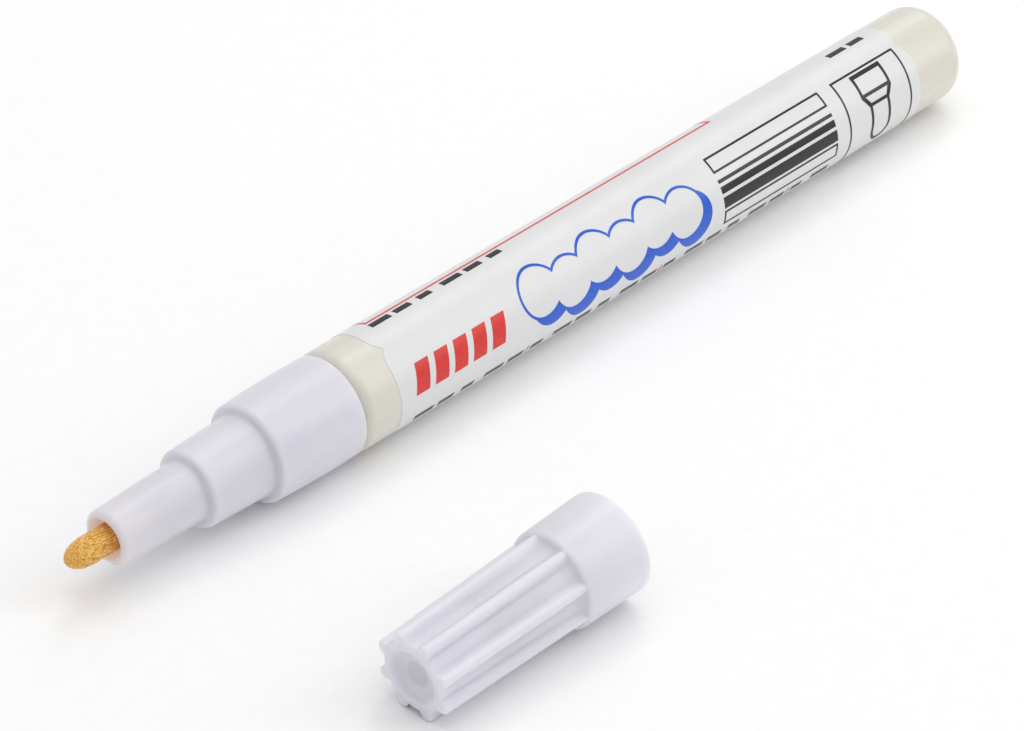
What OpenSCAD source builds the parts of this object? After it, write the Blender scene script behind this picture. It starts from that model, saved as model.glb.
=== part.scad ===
// Touch-up paint pen, lying on its barrel with the cap taken off beside it.
// The pen is drawn upright in its own frame: Z runs along its axis from the nib to the tail, and z = 0
// is the mouth of the barrel. in_pen() lays it down, so that Z turns to +X.

/* [Barrel] */
// Bare outer diameter of the barrel tube
barrel_d = 11.9; // [11:0.1:14]
// Length from the mouth to the flat tail
barrel_len = 99.6; // [80:0.1:130]
// Wall of the barrel tube
barrel_wall = 0.4; // [0.3:0.05:0.6]
// Thickness of the closed tail
tail_wall = 0.8; // [0.6:0.1:1.5]
// Radius that rounds the edge of the tail
tail_r = 2.2; // [1.5:0.1:3]
// Radius of the turned-in lip at the mouth
lip_r = 1.5; // [1:0.1:1.8]

/* [Label] */
// Thickness of the label film
label_t = 0.05; // [0.03:0.01:0.1]
// Bare barrel between the mouth and the label
label_start = 5.1; // [4:0.1:8]
// Length of the label along the barrel
label_len = 86; // [84:0.5:88]
// Radius of the label's corners
label_corner_r = 3; // [2:0.1:4]
// Overlap of the two label edges at the seam
label_lap = 1.6; // [0.4:0.1:2.4]
// Angle of the seam, from the top towards the front
seam_at = 23; // [0:1:40]

/* [Print] */
// Thickness of the printed ink
ink_t = 0.02; // [0.01:0.01:0.05]
// Width of the thin printed lines
line_w = 0.26; // [0.15:0.01:0.5]
// Where the red bars start, from the barrel's mouth
bars_start = 7.3; // [7:0.1:9]
// Angle of the middle of the red bars, from the top towards the front
bars_angle = 69; // [60:1:76]
// Number of red bars
bar_count = 5; // [3:1:5]
// Width of one red bar
bar_w = 2; // [1.5:0.1:2.1]
// Spacing of the red bars
bar_pitch = 2.9; // [2.6:0.05:3]
// Height of the red bars round the barrel
bar_h = 3.4; // [2.5:0.1:4]
// Slant of the red bars over half their height
bar_slant = 0.9; // [0:0.1:1.2]
// Where the row of paint dabs starts
dabs_start = 24.4; // [24:0.1:26]
// Angle of the middle of the row of paint dabs
dabs_angle = 60; // [50:1:66]
// Number of paint dabs
dab_count = 6; // [3:1:6]
// Spacing of the paint dabs
dab_pitch = 4.6; // [4:0.1:4.7]
// Radius of one paint dab
dab_r = 3.1; // [2.6:0.1:3.3]
// How far the dabs stand above and below the row's middle in turn
dab_stagger = 0.4; // [0:0.1:0.6]
// Width of the blue outline of the dabs
dab_line = 0.3; // [0.2:0.05:0.5]
// Slip of the blue shadow under the dabs
dab_shadow = 1; // [0.5:0.1:1.2]
// Where the stroke samples start
strokes_start = 56.6; // [56:0.1:58]
// Length of the stroke samples
strokes_len = 19.6; // [16:0.1:20]
// Where the rows of small dashes start
dashes_start = 7.6; // [7:0.1:10]
// Spacing of the small dashes
dash_pitch = 3.6; // [2:0.1:5]
// Height of the small dashes round the barrel
dash_h = 0.9; // [0.5:0.1:1.2]
// Where the nib drawing's frame starts
drawing_start = 78.4; // [78:0.1:79]
// Width of the nib drawing's frame
drawing_w = 11.1; // [10:0.1:11.5]

/* [Front section] */
// Length of the grip in front of the barrel
grip_len = 11.8; // [10:0.1:15]
// Diameter of the grip at its front edge
grip_front_d = 11.52; // [11:0.02:11.7]
// Diameter of the grip at its crown
grip_d = 11.94; // [11.8:0.02:12.4]
// Diameter of the grip at the barrel
grip_rear_d = 11.86; // [11.6:0.02:11.9]
// Distance from the barrel to the grip's crown
grip_crown = 4.8; // [3:0.1:6]
// Length of the neck that the cap fits over
neck_len = 8.4; // [7:0.1:10]
// Diameter of the neck at its front edge
neck_front_d = 8.98; // [8.6:0.02:9.2]
// Diameter of the neck at the grip
neck_root_d = 9.48; // [9.2:0.02:9.7]
// Length of the nose tube
nose_len = 11.5; // [9:0.1:13]
// Diameter of the nose tube at its mouth
nose_front_d = 6.36; // [6:0.02:6.6]
// Diameter of the nose tube at the neck
nose_root_d = 6.92; // [6.7:0.02:7.2]
// Diameter of the bore through the nose
nose_bore_d = 4.8; // [4.2:0.1:5]
// Radius that rounds the front edges of the steps
step_r = 0.45; // [0.3:0.05:0.9]
// Radius of the hollow fillets behind the nose and the neck
root_r = 0.55; // [0.1:0.05:0.7]
// Length of the plug inside the barrel
plug_len = 8; // [6:0.1:12]
// Number of guide ribs round the nib
guide_ribs = 4; // [3:1:6]
// Width of a guide rib
guide_rib_w = 0.7; // [0.5:0.1:1]
// Distance from the nose mouth to the guide ribs
guide_inset = 4; // [2:0.1:6]

/* [Nib] */
// Diameter of the fibre nib
nib_d = 3.1; // [2:0.1:3.6]
// Whole length of the nib
nib_len = 20.4; // [19:0.1:21]
// Length of nib that shows in front of the nose
nib_out = 5.3; // [4.5:0.1:6]
// Length over which the bullet widens to the full diameter
nib_taper = 2.8; // [2:0.1:4]

/* [Valve] */
// How far the nib can be pressed in
valve_travel = 1.8; // [1:0.1:2]
// Run left between the nib and the seat plate at full press
stop_gap = 0.7; // [0.3:0.1:1]
// Outer diameter of the valve body
valve_d = 7.2; // [6.8:0.1:7.6]
// Wall of the valve body
valve_wall = 0.8; // [0.6:0.1:1]
// Thickness of the seat plate
seat_t = 2; // [1:0.1:2.5]
// Diameter of the hole in the seat plate
seat_hole_d = 2.9; // [2.5:0.1:3.2]
// Thickness of the flange that stops the valve body on the plug
valve_flange_t = 0.8; // [0.5:0.1:1.2]
// Diameter of that flange
valve_flange_d = 8.8; // [8:0.1:9.4]
// Thickness of the seat washer
washer_t = 0.6; // [0.4:0.1:1]
// Diameter of the stem's piston and of the washer
piston_d = 4.4; // [4:0.1:4.6]
// Length of the stem's piston
piston_len = 6.4; // [4:0.1:8]
// Diameter of the stem's front pin
pin_d = 2; // [1.6:0.1:2.2]
// Diameter of the stem's guide rod
rod_d = 1.8; // [1.4:0.1:2]
// Guide rod that stands out of the retainer at rest
rod_out = 0.7; // [0.3:0.1:2]
// Thickness of the spring retainer
retainer_t = 2; // [1.5:0.1:3]
// Diameter of the paint ports in the retainer
port_d = 0.8; // [0.5:0.1:0.9]
// Number of paint ports
port_count = 4; // [3:1:6]
// Wire of the valve spring
wire_d = 0.36; // [0.3:0.02:0.5]
// Turns of the valve spring
spring_turns = 8; // [5:1:10]
// Diameter of the mixing ball
ball_d = 4.8; // [3:0.1:6]
// Where the mixing ball lies, from the barrel's mouth
ball_at = 62; // [30:1:70]

/* [Cap] */
// Outer diameter of the sleeve at its rim
rim_d = 11.74; // [11.5:0.02:12]
// Outer diameter of the sleeve at its shoulder
sleeve_d = 11.3; // [11.1:0.02:11.5]
// Radius that rounds the sleeve's shoulder, which starts where the neck ends inside
shoulder_r = 1.7; // [1.2:0.1:2]
// Number of grip ribs
rib_count = 8; // [6:2:10]
// Width of a grip rib
rib_w = 1.5; // [1.2:0.1:1.8]
// Diameter over the ribs at the shoulder
rib_root_d = 10.34; // [10:0.02:10.6]
// Diameter over the ribs at the closed end
rib_end_d = 9.76; // [9.6:0.02:10]
// Radius that rounds the ends of the ribs
rib_edge_r = 0.25; // [0.1:0.05:0.5]
// Diameter between the ribs at the shoulder
floor_root_d = 9.1; // [8.9:0.1:9.4]
// Diameter between the ribs at the closed end
floor_end_d = 8.4; // [8:0.1:8.7]
// Diameter of the well in the closed end
well_d = 6.3; // [5:0.1:6.8]
// Depth of the well
well_depth = 1.1; // [0.6:0.1:1.6]
// Diameter of the dimple in the well
dimple_d = 3; // [2:0.1:4]
// Depth of the dimple
dimple_depth = 0.7; // [0.4:0.1:1]
// Wall left between the dimple and the inside
cap_end_wall = 0.7; // [0.6:0.1:1.5]
// Room left in front of the nib inside the cap
cap_tip_room = 0.5; // [0.5:0.1:2]

/* [Layout] */
// Distance from the barrel's axis to the middle of the cap's rim
cap_side = 37.35; // [25:0.05:60]
// How far the cap's rim lies behind the barrel's mouth
cap_behind = 3.15; // [-20:0.05:40]
// Turn of the cap on the table
cap_turn = -0.9; // [-5:0.1:5]

/* [Hidden] */
$fn = 96;

// Overlap of joined solids, and how far cutters reach past the faces that they cut
eps = 0.01;
overrun = 1;

// Clearances and fits
nib_fit = 0.06;
rod_fit = 0.08;
cap_fit = 0.12;
cap_step_fit = 0.6;
cap_nose_fit = 0.4;
ball_fit = 0.01;

// Barrel and label radii
barrel_r = barrel_d / 2;
bore_r = barrel_r - barrel_wall;
label_r = barrel_r + label_t;
label_end = label_start + label_len;

// Stations along the pen, counted from the barrel's mouth
grip_front = -grip_len;
neck_front = grip_front - neck_len;
nose_front = neck_front - nose_len;
nib_tip = nose_front - nib_out;
nib_back = nib_tip + nib_len;
valve_front = nib_back + valve_travel + stop_gap;
seat_face = valve_front + seat_t;
piston_front = seat_face + washer_t;
piston_back = piston_front + piston_len;
valve_back = plug_len + valve_flange_t;
retainer_front = valve_back - retainer_t;

// The tail's inner corner follows the outer one until it meets the tail's wall
tail_in_r = tail_r - barrel_wall;
tail_in_angle = asin((tail_r - tail_wall) / tail_in_r);

// Print: gaps, steps and overhangs in mm, then angles from the top towards the front
dash_gap = 0.7;
dash_step = 0.5;
drawing_line = 0.4;
high_dashes = -15;
low_dashes = 115;
tick_over = 2;
red_frame_start = 7.7;
red_frame_end = 63;
red_frame_low = -130;
red_frame_high = -19;
stroke_angles = [52, 60, 72];
stroke_spans = [4, 8, 13];
sample_frames = [[24, 44], [88, 106]];
drawing_angle = 72;
drawing_front = 24;
drawing_back = 150;
high_dashes_len = 22;
low_dashes_over = 1;
mark_dashes_inset = 4;
mark_dashes_over = 0.3;
ticks = [5, 11, 17];

// Turned-in lip: the arc stops at lip_angle, and the section's collar fills the throat that it leaves
lip_angle = 60;
lip_in_r = lip_r - barrel_wall;
lip_centre = barrel_r - lip_r;
throat_r = lip_centre + lip_in_r * cos(lip_angle);

// The front edges of the steps are rounded as far as their height allows
neck_edge_r = min(step_r, (neck_front_d - nose_root_d) / 2 - root_r);
grip_edge_r = min(step_r, (grip_front_d - neck_root_d) / 2 - root_r);

// The cap, counted from its rim to its closed end
cap_neck_bore_r = neck_root_d / 2 + cap_fit;
cap_nose_bore_r = nose_root_d / 2 + cap_fit;
cap_nib_bore_r = nib_d / 2 + cap_nose_fit;
cap_neck_bore_end = neck_len - neck_edge_r;
cap_nose_bore_start = neck_len + cap_step_fit;
cap_nose_bore_end = neck_len + nose_len + cap_nose_fit;
cap_nib_bore_end = neck_len + nose_len + nib_out + cap_tip_room;
cap_len = cap_nib_bore_end + cap_end_wall + dimple_depth + well_depth;
rim_edge_r = 0.3;
rim_lead = 0.35;
rib_top_r = rib_w / 2;
shoulder_c = sleeve_d / 2 - shoulder_r;

// The cap rests on the round of its shoulder and on the ends of its two lowest ribs. A line from there that
// touches the shoulder gives the tilt.
low_rib = 180 / rib_count;
rib_rest_r = (rib_end_d / 2 - rib_top_r) * cos(low_rib) + rib_top_r;
end_rest_z = cap_len - 0.4 * rib_edge_r;
rest_run = end_rest_z - neck_len;
rest_rise = rib_rest_r - shoulder_c;
cap_tilt = asin(shoulder_r / norm([rest_run, rest_rise])) - atan2(rest_rise, rest_run);
cap_rim_z = neck_len * sin(cap_tilt) + shoulder_c * cos(cap_tilt) + shoulder_r;

// Row frame: the origin is under the middle of the pen and its cap, on the table
pen_x = -(nib_tip + barrel_len) / 2;
pen_y = (cap_side + rim_d / 2 - label_r - ink_t) / 2;
pen_z = label_r;

// Points on an arc in the plane of a turned outline, as [radius, height]
function arc(c, r, from, to, n = 8) =
    [for (i = [0:n]) let (t = from + (to - from) * i / n) c + r * [cos(t), sin(t)]];

// Angle in degrees that a width covers on the label
function label_angle(w) = w / label_r * 180 / PI;

// Lays a child from the pen's frame down on the table
module in_pen() translate([pen_x, pen_y, pen_z]) rotate([0, 90, 0]) children();

// Solid of revolution from points [radius, height]
module turned(points) rotate_extrude() polygon(points);

// Plain ring or disc between two heights
module ring(r_out, from, to, r_in = 0) {
    difference() {
        translate([0, 0, from]) cylinder(r = r_out, h = to - from);
        if (r_in > 0) translate([0, 0, from - eps]) cylinder(r = r_in, h = to - from + 2 * eps);
    }
}

// Drives a flat outline, drawn with X along the pen and Y round it, radially through the label's wall
module through_label(angle, at = 0) {
    rotate([0, 0, 180 + angle]) translate([label_r + overrun, 0, at]) rotate([0, -90, 0])
        linear_extrude(height = label_r) children();
}

// Impact-extruded tube with a closed flat tail and a turned-in mouth
module barrel() {
    outer = concat(
        [[0, barrel_len]],
        arc([barrel_r - tail_r, barrel_len - tail_r], tail_r, 90, 0),
        arc([lip_centre, lip_r], lip_r, 0, -lip_angle)
    );
    inner = concat(
        arc([lip_centre, lip_r], lip_in_r, -lip_angle, 0),
        arc([barrel_r - tail_r, barrel_len - tail_r], tail_in_r, 0, tail_in_angle),
        [[0, barrel_len - tail_wall]]
    );
    color("#dedccf") in_pen() turned(concat(outer, inner));
}

// Outline of the notch that two rounded label corners leave where they lap
module seam_notch() {
    half = label_corner_r - label_lap / 2;
    difference() {
        translate([-overrun, -half]) square([overrun + label_corner_r, 2 * half]);
        for (side = [-1, 1])
            translate([label_corner_r, side * half]) circle(r = label_corner_r);
    }
}

// Printed film wrapped round the barrel
module label() {
    color("#e6e7e8") in_pen() difference() {
        ring(label_r, label_start, label_end, barrel_r);
        through_label(seam_at, label_start) seam_notch();
        through_label(seam_at, label_end) mirror([1, 0]) seam_notch();
    }
}

// Rectangle of ink from one height and angle to another; extra makes it thicker both ways, as a cutter
module ink_patch(from, to, angle_from, angle_to, extra = 0) {
    rotate([0, 0, 180 + angle_from]) rotate_extrude(angle = angle_to - angle_from)
        translate([label_r - extra, from]) square([ink_t + 2 * extra, to - from]);
}

// Ink in the shape of a flat outline
module ink_stamp(angle, at, reach) {
    intersection() {
        ring(label_r + ink_t, at - reach, at + reach, label_r);
        through_label(angle, at) children();
    }
}

// Frame of thin lines
module ink_frame(from, to, angle_from, angle_to) {
    w = label_angle(line_w);
    difference() {
        ink_patch(from, to, angle_from, angle_to);
        ink_patch(from + line_w, to - line_w, angle_from + w, angle_to - w, overrun);
    }
}

// Row of short dashes of three lengths, where small print would be
module ink_dashes(from, to, angle) {
    for (i = [0:floor((to - from) / dash_pitch) - 1]) {
        start = from + i * dash_pitch;
        len = dash_pitch - dash_gap - dash_step * (i % 3);
        ink_patch(start, start + len, angle, angle + label_angle(dash_h));
    }
}

// Slanted red bars, the red frame near the back, and red strokes in the lower row of dashes
module print_red() {
    color("#e0453c") in_pen() {
        for (i = [0:bar_count - 1])
            ink_stamp(bars_angle, bars_start + i * bar_pitch + bar_w / 2, bar_pitch)
                polygon([
                    [-bar_w / 2, bar_h / 2], [bar_w / 2, bar_h / 2],
                    [bar_w / 2 + bar_slant, -bar_h / 2], [-bar_w / 2 + bar_slant, -bar_h / 2]
                ]);
        ink_frame(red_frame_start, red_frame_end, red_frame_low, red_frame_high);
        for (i = ticks) {
            at = dashes_start + i * dash_pitch - dash_gap;
            ink_patch(at, at + line_w, low_dashes - tick_over, low_dashes + label_angle(dash_h) + tick_over);
        }
    }
}

// Row of overlapping round dabs, high and low in turn
module dabs(r) {
    for (i = [0:dab_count - 1])
        translate([dab_r + i * dab_pitch, (i % 2 - 0.5) * 2 * dab_stagger]) circle(r = r);
}

// Paint dabs drawn by a blue outline with a heavy shadow
module print_blue() {
    color("#2a66d8") in_pen() ink_stamp(dabs_angle, dabs_start, dab_count * dab_pitch + 2 * dab_r)
        difference() {
            union() {
                dabs(dab_r);
                translate([dab_shadow, dab_shadow]) dabs(dab_r);
            }
            dabs(dab_r - dab_line);
        }
}

// Line drawing of a bullet nib in its collar, pointing round the barrel
module nib_drawing() {
    w = drawing_line;
    collar = 2.6;
    tube = 1.7;
    top = -4.1;
    middle = -1.5;
    waist = -0.2;
    round_at = 2.8;
    difference() {
        union() {
            polygon([
                [-collar, top], [collar, top], [collar, middle], [tube, waist],
                [tube, round_at], [-tube, round_at], [-tube, waist], [-collar, middle]
            ]);
            translate([0, round_at]) circle(r = tube);
        }
        translate([-collar + w, top + w]) square([2 * (collar - w), middle - top - 2 * w]);
        polygon([
            [-collar + 1.6 * w, middle], [collar - 1.6 * w, middle],
            [tube - 0.9 * w, waist - w], [-tube + 0.9 * w, waist - w]
        ]);
        translate([-tube + w, waist]) square([2 * (tube - w), round_at - waist]);
        translate([0, round_at]) circle(r = tube - w);
    }
}

// Thin frames, stroke samples, the nib drawing and the rows of small dashes
module print_black() {
    strokes_end = strokes_start + strokes_len;
    drawing_end = drawing_start + drawing_w;
    color("#3a3236") in_pen() {
        for (span = sample_frames) ink_frame(strokes_start, strokes_end, span[0], span[1]);
        for (i = [0:2])
            ink_patch(strokes_start, strokes_end, stroke_angles[i], stroke_angles[i] + stroke_spans[i]);
        ink_frame(drawing_start, drawing_end, drawing_front, drawing_back);
        ink_stamp(drawing_angle, drawing_start + drawing_w / 2, drawing_w / 2) nib_drawing();
        ink_dashes(dashes_start, dashes_start + high_dashes_len, high_dashes);
        ink_dashes(dashes_start, strokes_end + low_dashes_over, low_dashes);
        ink_dashes(drawing_start + mark_dashes_inset, drawing_end + mark_dashes_over, high_dashes);
    }
}

// Stepped nose, grip and plug in one moulding
module front_section() {
    mouth_r = 0.7;
    rear_edge = 0.15;
    plug_edge = 0.5;
    outer = concat(
        [[nose_bore_d / 2, nose_front]],
        arc([nose_front_d / 2 - mouth_r, nose_front + mouth_r], mouth_r, -90, 0),
        arc([nose_root_d / 2 + root_r, neck_front - root_r], root_r, 180, 90, 4),
        arc([neck_front_d / 2 - neck_edge_r, neck_front + neck_edge_r], neck_edge_r, -90, 0),
        arc([neck_root_d / 2 + root_r, grip_front - root_r], root_r, 180, 90, 4),
        arc([grip_front_d / 2 - grip_edge_r, grip_front + grip_edge_r], grip_edge_r, -90, 0),
        [[grip_d / 2, -grip_crown], [grip_rear_d / 2, -rear_edge], [grip_rear_d / 2 - rear_edge, 0]]
    );
    plug = [
        [throat_r, 0], [throat_r, lip_r], [bore_r, lip_r + (bore_r - throat_r)],
        [bore_r, plug_len - plug_edge], [bore_r - plug_edge, plug_len],
        [valve_d / 2, plug_len], [valve_d / 2, valve_front], [nose_bore_d / 2, valve_front]
    ];
    rib_root = 0.2;
    guide_end_gap = 0.5;
    guide_r = nib_d / 2 + nib_fit;
    guide_front = nose_front + guide_inset;
    guide_back = nib_back - guide_end_gap;
    color("#dcdce3") in_pen() {
        turned(concat(outer, plug));
        for (i = [0:guide_ribs - 1])
            rotate([0, 0, 45 + i * 360 / guide_ribs]) translate([guide_r, -guide_rib_w / 2, guide_front])
                cube([nose_bore_d / 2 + rib_root - guide_r, guide_rib_w, guide_back - guide_front]);
    }
}

// Bonded fibre rod with a bullet end
module nib() {
    steps = 12;
    bullet = [for (i = [0:steps]) let (t = 90 * i / steps)
        [nib_d / 2 * sin(t), nib_tip + nib_taper * (1 - cos(t))]];
    color("#d9a13c") in_pen() turned(concat(bullet, [[nib_d / 2, nib_back], [0, nib_back]]));
}

// Sleeve with the seat plate, stopped by its flange on the end of the plug
module valve_body() {
    chamber_r = valve_d / 2 - valve_wall;
    color("#eceae2") in_pen() difference() {
        union() {
            ring(valve_d / 2, valve_front, plug_len);
            ring(valve_flange_d / 2, plug_len, valve_back);
        }
        ring(seat_hole_d / 2, valve_front - overrun, seat_face + eps);
        ring(chamber_r, seat_face, valve_back + overrun);
    }
}

// Soft ring that closes the seat plate
module seat_washer() {
    color("#3c3c3e") in_pen() ring(piston_d / 2, seat_face, piston_front, pin_d / 2);
}

// Plunger: front pin, piston and guide rod
module valve_stem() {
    color("#b9c4cf") in_pen() {
        ring(pin_d / 2, nib_back, piston_front + eps);
        ring(piston_d / 2, piston_front, piston_back);
        ring(rod_d / 2, piston_back - eps, valve_back + rod_out);
    }
}

// Coil spring between the piston and the retainer, with one closed turn at each end
module valve_spring() {
    coil_inset = 0.1;
    coil_r = (piston_d - wire_d) / 2 - coil_inset;
    rise = retainer_front - piston_back - wire_d;
    per_turn = 20;
    sides = 8;
    rings = spring_turns * per_turn;
    closed = 1 / spring_turns;
    function climb(u) =
        u < closed ? wire_d * u / closed
        : u > 1 - closed ? rise - wire_d * (1 - u) / closed
        : wire_d + (rise - 2 * wire_d) * (u - closed) / (1 - 2 * closed);
    function wire_point(k, s) =
        let (u = k / rings, turn = 360 * k / per_turn, side = 360 * s / sides,
             r = coil_r + wire_d / 2 * cos(side))
        [r * cos(turn), r * sin(turn), piston_back + wire_d / 2 + climb(u) + wire_d / 2 * sin(side)];
    points = [for (k = [0:rings], s = [0:sides - 1]) wire_point(k, s)];
    skin = [for (k = [0:rings - 1], s = [0:sides - 1])
        let (n = (s + 1) % sides, a = k * sides) [a + s, a + sides + s, a + sides + n, a + n]];
    ends = [[for (s = [0:sides - 1]) s], [for (s = [sides - 1:-1:0]) rings * sides + s]];
    color("#c9ccd1") in_pen() polyhedron(points = points, faces = concat(skin, ends));
}

// Ported disc that closes the valve body and guides the stem
module spring_retainer() {
    disc_r = valve_d / 2 - valve_wall;
    hole_r = rod_d / 2 + rod_fit;
    color("#e3dfd3") in_pen() difference() {
        ring(disc_r, retainer_front, valve_back, hole_r);
        for (i = [0:port_count - 1])
            rotate([0, 0, 45 + i * 360 / port_count])
                translate([(disc_r + hole_r) / 2, 0, retainer_front - overrun])
                    cylinder(d = port_d, h = retainer_t + 2 * overrun);
    }
}

// Loose steel ball on the floor of the paint chamber
module mixing_ball() {
    color("#b5b8bc") in_pen() translate([bore_r - ball_d / 2 - ball_fit, 0, ball_at]) sphere(d = ball_d);
}

// One grip rib along the cap, with a round crest that follows the taper
module cap_rib() {
    rib_len = cap_len - neck_len;
    lean = atan((rib_root_d - rib_end_d) / 2 / rib_len);
    rib_root = 0.4;
    inner = floor_end_d / 2 - rib_root;
    translate([rib_root_d / 2, 0, neck_len]) rotate([0, -lean, 0]) translate([0, 0, -overrun])
        linear_extrude(height = rib_len + 2 * overrun) {
            translate([-rib_top_r, 0]) circle(r = rib_top_r, $fn = 48);
            translate([inner - rib_root_d / 2, -rib_top_r])
                square([rib_root_d / 2 - inner - rib_top_r, 2 * rib_top_r]);
        }
}

// Ribbed cap in one moulding, drawn with its rim at z = 0 and its mouth downwards
module cap_moulding() {
    floor_root_r = floor_root_d / 2;
    floor_end_r = floor_end_d / 2;
    end_edge = 0.25;
    shoulder_angle = acos((floor_root_r - shoulder_c) / shoulder_r);
    difference() {
        union() {
            turned(concat(
                [[0, 0]],
                arc([rim_d / 2 - rim_edge_r, rim_edge_r], rim_edge_r, -90, 0, 4),
                arc([shoulder_c, neck_len], shoulder_r, 0, shoulder_angle, 12),
                [[floor_end_r, cap_len - end_edge], [floor_end_r - end_edge, cap_len], [0, cap_len]]
            ));
            intersection() {
                for (i = [0:rib_count - 1]) rotate([0, 0, low_rib + i * 360 / rib_count]) cap_rib();
                turned(concat(
                    [[0, neck_len], [rib_root_d / 2, neck_len]],
                    arc([rib_end_d / 2 - rib_edge_r, cap_len - rib_edge_r], rib_edge_r, 0, 90, 5),
                    [[0, cap_len]]
                ));
            }
        }
        turned([
            [0, -overrun], [cap_neck_bore_r + rim_lead + overrun, -overrun],
            [cap_neck_bore_r, rim_lead], [cap_neck_bore_r, cap_neck_bore_end],
            [cap_nose_bore_r, cap_nose_bore_start], [cap_nose_bore_r, cap_nose_bore_end],
            [cap_nib_bore_r, cap_nose_bore_end], [cap_nib_bore_r, cap_nib_bore_end], [0, cap_nib_bore_end]
        ]);
        ring(well_d / 2, cap_len - well_depth, cap_len + overrun);
        ring(dimple_d / 2, cap_len - well_depth - dimple_depth, cap_len);
    }
}

// The cap lying beside the pen, with its closed end down
module cap() {
    color("#dcdce3")
        translate([pen_x + cap_behind, pen_y - cap_side, cap_rim_z]) rotate([0, 0, cap_turn])
            rotate([0, -90 - cap_tilt, 0]) cap_moulding();
}

barrel();
label();
print_red();
print_blue();
print_black();
front_section();
nib();
valve_body();
seat_washer();
valve_stem();
valve_spring();
spring_retainer();
mixing_ball();
cap();
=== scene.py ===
import math

import bmesh
import bpy
from mathutils import Matrix, Vector, noise
from mathutils.geometry import delaunay_2d_cdt


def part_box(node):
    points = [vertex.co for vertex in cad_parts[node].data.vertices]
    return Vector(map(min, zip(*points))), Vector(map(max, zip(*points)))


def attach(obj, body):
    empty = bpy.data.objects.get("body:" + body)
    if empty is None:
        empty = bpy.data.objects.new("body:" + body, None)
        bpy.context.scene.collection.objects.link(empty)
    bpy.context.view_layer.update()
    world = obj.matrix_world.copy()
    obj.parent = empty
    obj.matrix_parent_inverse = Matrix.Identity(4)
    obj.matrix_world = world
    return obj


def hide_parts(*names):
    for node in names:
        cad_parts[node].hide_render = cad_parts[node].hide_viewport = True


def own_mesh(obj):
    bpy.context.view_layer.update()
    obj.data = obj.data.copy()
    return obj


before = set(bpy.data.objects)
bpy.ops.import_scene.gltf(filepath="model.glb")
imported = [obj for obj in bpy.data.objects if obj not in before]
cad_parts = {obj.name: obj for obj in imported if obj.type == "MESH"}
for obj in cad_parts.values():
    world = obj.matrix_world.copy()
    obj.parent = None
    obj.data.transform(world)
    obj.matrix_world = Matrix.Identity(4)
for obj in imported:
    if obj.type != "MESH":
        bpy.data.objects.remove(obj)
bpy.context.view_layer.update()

# Barrel. One aluminium slug, impact-extruded into a thin tube with a closed flat tail, then trimmed and
# rolled in at its mouth over the front section's plug. Its ivory lacquer is baked on before the label.


def linear(hexcode):
    """sRGB hex colour as the linear RGBA that Blender's shaders take."""
    parts = [int(hexcode[i:i + 2], 16) / 255 for i in (1, 3, 5)]
    return tuple(c / 12.92 if c <= 0.04045 else ((c + 0.055) / 1.055) ** 2.4 for c in parts) + (1.0,)


def node(tree, kind, settings=None, **links):
    """Adds a shader node. Settings are properties or input values; links are inputs fed by (node, output)."""
    made = tree.nodes.new(kind)
    for key, value in (settings or {}).items():
        if isinstance(key, int) or key in made.inputs.keys():
            made.inputs[key].default_value = value
        else:
            setattr(made, key, value)
    for key, source in links.items():
        name = key.replace("_", " ")
        socket = made.inputs[int(key[1:])] if key[0] == "i" and key[1:].isdigit() else made.inputs[name]
        tree.links.new(source[0].outputs[source[1]], socket)
    return made


def material(name):
    """Empty node material with its output and principled shader, and row coordinates in millimetres."""
    made = bpy.data.materials.new(name)
    made.use_nodes = True
    tree = made.node_tree
    tree.nodes.clear()
    place = node(tree, "ShaderNodeTexCoord")
    mm = node(tree, "ShaderNodeMapping", {"Scale": (1000, 1000, 1000)}, Vector=(place, "Object"))
    shader = node(tree, "ShaderNodeBsdfPrincipled")
    node(tree, "ShaderNodeOutputMaterial", Surface=(shader, "BSDF"))
    return made, tree, mm, shader


def ramp(tree, source, stops):
    """Colour ramp through (position, hex colour) stops."""
    made = node(tree, "ShaderNodeValToRGB", Fac=source)
    while len(made.color_ramp.elements) < len(stops):
        made.color_ramp.elements.new(0.5)
    for element, (at, colour) in zip(made.color_ramp.elements, stops):
        element.position = at
        element.color = linear(colour)
    return made


def arc(centre, r, start, end, n=8):
    """Points [a, r] on a round, with angles in degrees from +a towards the outside."""
    return [[centre[0] + r * math.cos(math.radians(start + (end - start) * i / n)),
             centre[1] + r * math.sin(math.radians(start + (end - start) * i / n))] for i in range(n + 1)]


barrel_low, barrel_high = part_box("barrel")
tail_x = barrel_high.x
barrel_len = 99.6
mouth_x = tail_x - barrel_len / 1000
axis_y = (barrel_low.y + barrel_high.y) / 2
axis_z = (barrel_low.z + barrel_high.z) / 2


def on_pen(a, r, phi):
    """Point in the row frame: a mm behind the barrel's mouth, r mm from the axis, phi degrees from the top
    towards the front."""
    t = math.radians(phi)
    return Vector((mouth_x + a / 1000, axis_y - r / 1000 * math.sin(t), axis_z + r / 1000 * math.cos(t)))


def turned(name, outline, sides=192, crease=32):
    """Closed solid of revolution on the pen's axis, from [a, r] points in mm; r = 0 is a pole."""
    bm = bmesh.new()
    rings = []
    for a, r in outline:
        if r == 0:
            rings.append([bm.verts.new(on_pen(a, 0, 0))])
        else:
            rings.append([bm.verts.new(on_pen(a, r, 360 * k / sides)) for k in range(sides)])
    pairs = list(zip(rings, rings[1:]))
    if outline[0][1] and outline[-1][1]:
        pairs.append((rings[-1], rings[0]))
    for first, second in pairs:
        for k in range(sides):
            n = (k + 1) % sides
            if len(first) == 1:
                bm.faces.new((first[0], second[n], second[k]))
            elif len(second) == 1:
                bm.faces.new((first[k], first[n], second[0]))
            else:
                bm.faces.new((first[k], first[n], second[n], second[k]))
    return finished(name, bm, crease)


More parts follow.
